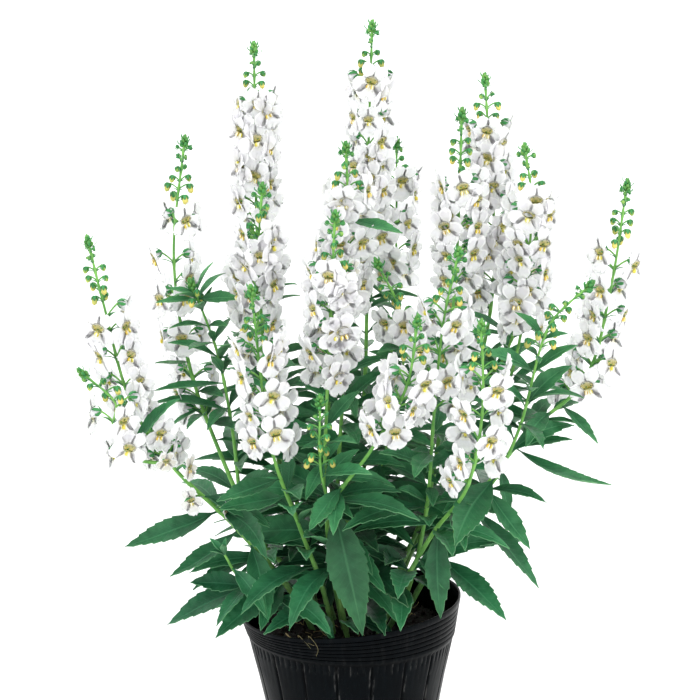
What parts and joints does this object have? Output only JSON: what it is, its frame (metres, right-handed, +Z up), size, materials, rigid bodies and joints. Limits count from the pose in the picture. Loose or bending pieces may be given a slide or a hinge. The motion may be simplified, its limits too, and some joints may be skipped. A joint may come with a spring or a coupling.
{
  "type": "potted summer snapdragon",
  "caption": "White-flowered summer snapdragon with upright flower spikes and toothed green leaves, standing in soil in a round black nursery pot.",
  "frame": {"origin": "centre of the flat underside of the pot, on the surface that it stands on", "axes": "+Z up through the pot, -Y towards the plant's front, +X to the right as seen from the front"},
  "size_m": [0.2751, 0.1893, 0.3752],
  "materials": {
    "pot_plastic": "satin black moulded plastic with pale dusty scuffs",
    "soil": "loose dark brown peat with root fibres",
    "foliage": "deep green leaves and lighter green stems, softly glossy",
    "petal": "thin white petals with a yellow and olive throat"
  },
  "bodies": {
    "root": {"pot": "pot_plastic", "soil": "soil", "stem_far_left": "foliage", "stem_left": "foliage", "stem_back_left": "foliage", "stem_mid_left": "foliage", "stem_front_left": "foliage", "stem_back": "foliage", "stem_middle": "foliage", "stem_front": "foliage", "stem_front_bent": "foliage", "stem_right": "foliage", "stem_front_right": "foliage", "stem_back_right": "foliage", "stem_far_right": "foliage", "stem_low_right": "foliage", "stem_rear_middle": "foliage", "stem_rear_right": "foliage", "stem_rear_left": "foliage"}
  },
  "joints": []
}
